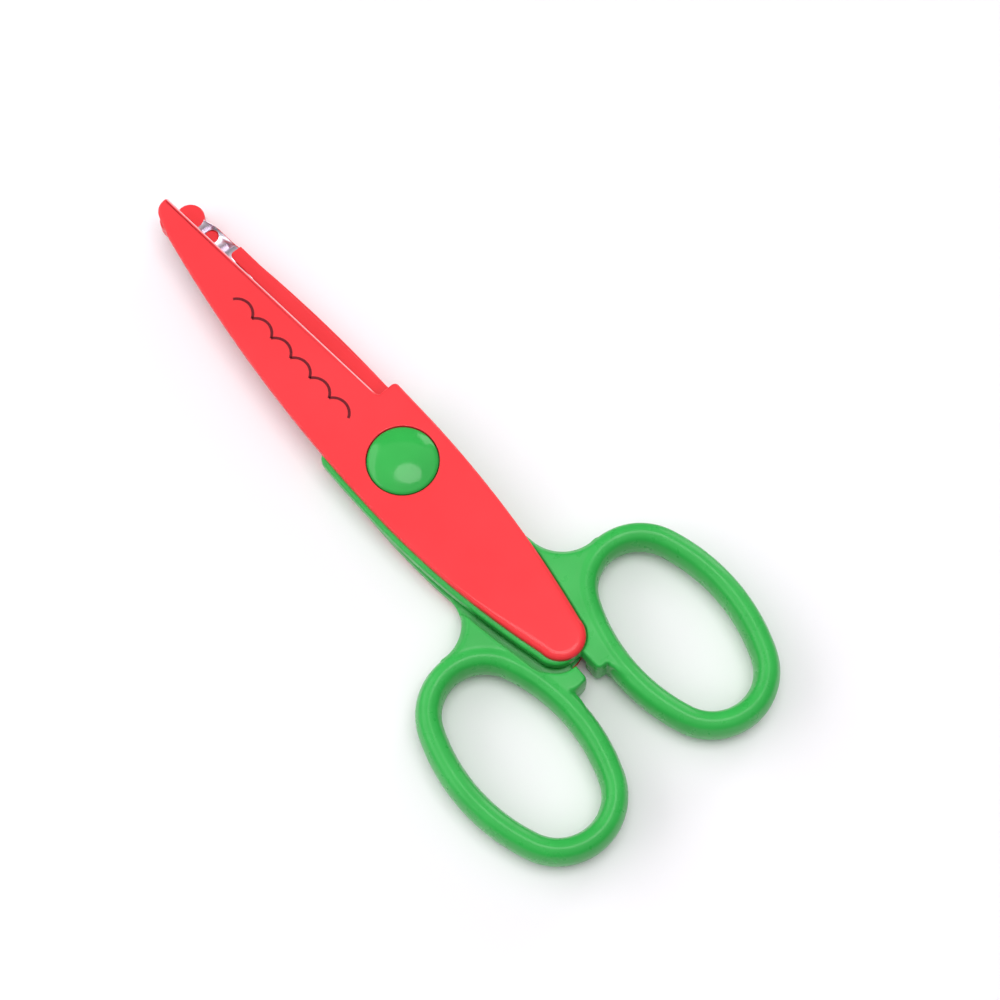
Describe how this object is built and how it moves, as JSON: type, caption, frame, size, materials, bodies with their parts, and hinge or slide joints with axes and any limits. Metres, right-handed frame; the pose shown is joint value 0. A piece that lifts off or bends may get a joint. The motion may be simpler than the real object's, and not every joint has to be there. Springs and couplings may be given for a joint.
{
  "type": "decorative edge scissors",
  "caption": "Craft scissors with waved steel blades under plastic covers that cut a scalloped edge, pivoting on a capped rivet between oval finger loops.",
  "frame": {"origin": "on the pivot axis, at the back face that the scissors lie on", "axes": "+Y from the finger loops to the blade tips, +X towards the front lever's finger loop, +Z out of the front face along the pivot"},
  "size_m": [0.0604, 0.1375, 0.0104],
  "materials": {
    "red_plastic": "satin",
    "dark_print": "printed",
    "green_plastic": "moulded gloss",
    "blade_steel": "fine brushed",
    "rivet_steel": "turned",
    "spacer_plastic": "natural"
  },
  "bodies": {
    "front_lever": {"front_cover": "red_plastic", "front_pattern_mark": "dark_print", "front_blade_holder": "red_plastic", "front_blade": "blade_steel", "front_handle": "green_plastic", "front_pivot_button": "green_plastic", "front_rivet_washer": "rivet_steel", "pivot_rivet": "rivet_steel", "pivot_spacer": "spacer_plastic", "back_rivet_washer": "rivet_steel"},
    "back_lever": {"back_pivot_cap": "green_plastic", "back_cover": "red_plastic", "back_blade_holder": "red_plastic", "back_blade": "blade_steel", "back_handle": "green_plastic"}
  },
  "joints": [
    {"name": "pivot", "type": "hinge", "parent": "front_lever", "child": "back_lever", "pos_m": [0, 0, 0], "axis": [0, 0, -1], "range_deg": [-2.4, 50]}
  ]
}
